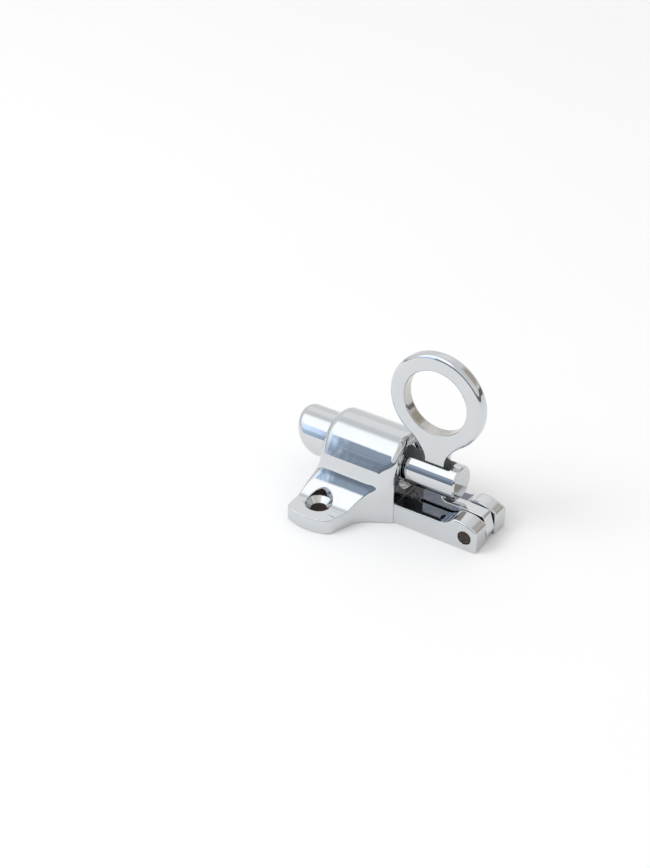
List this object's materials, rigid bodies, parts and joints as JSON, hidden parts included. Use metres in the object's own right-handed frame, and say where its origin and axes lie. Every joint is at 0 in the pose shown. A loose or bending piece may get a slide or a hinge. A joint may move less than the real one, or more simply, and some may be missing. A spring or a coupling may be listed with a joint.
{
  "type": "fanlight catch",
  "caption": "Spring-bolt catch for a fanlight: a cast barrel on screw lugs, with a round-nosed bolt drawn back by a ring lever hinged in its forked tail.",
  "frame": {"origin": "on the mounting face, midway between the two screw holes", "axes": "+X along the bolt towards the ring and away from the nose, +Z out of the mounting face, +Y across the lugs"},
  "size_m": [0.0614, 0.05, 0.0523],
  "materials": {
    "cast_chrome": "polished chrome plate on a casting",
    "turned_chrome": "polished chrome plate on turned bar",
    "dark_pin": "dark, unplated riveted end",
    "spring_steel": "drawn wire"
  },
  "bodies": {
    "body": {"body": "cast_chrome", "pivot_pin": "dark_pin", "spring": "spring_steel"},
    "bolt": {"bolt": "turned_chrome"},
    "ring_lever": {"ring_lever": "cast_chrome"}
  },
  "joints": [
    {"name": "ring_lever_hinge", "type": "hinge", "parent": "body", "child": "ring_lever", "pos_m": [0.0406, 0, 0.00385], "axis": [0, 1, 0], "range_deg": [0, 36], "stiffness_Nm_per_rad": 0.19, "springref_deg": -18.91},
    {"name": "bolt_slide", "type": "slide", "parent": "body", "child": "bolt", "axis": [1, 0, 0], "range_m": [0, 0.0114], "deforming": ["spring"]}
  ],
  "couplings": [
    {"joint": "bolt_slide", "follows": "ring_lever_hinge", "m_per_rad": 0.018}
  ]
}
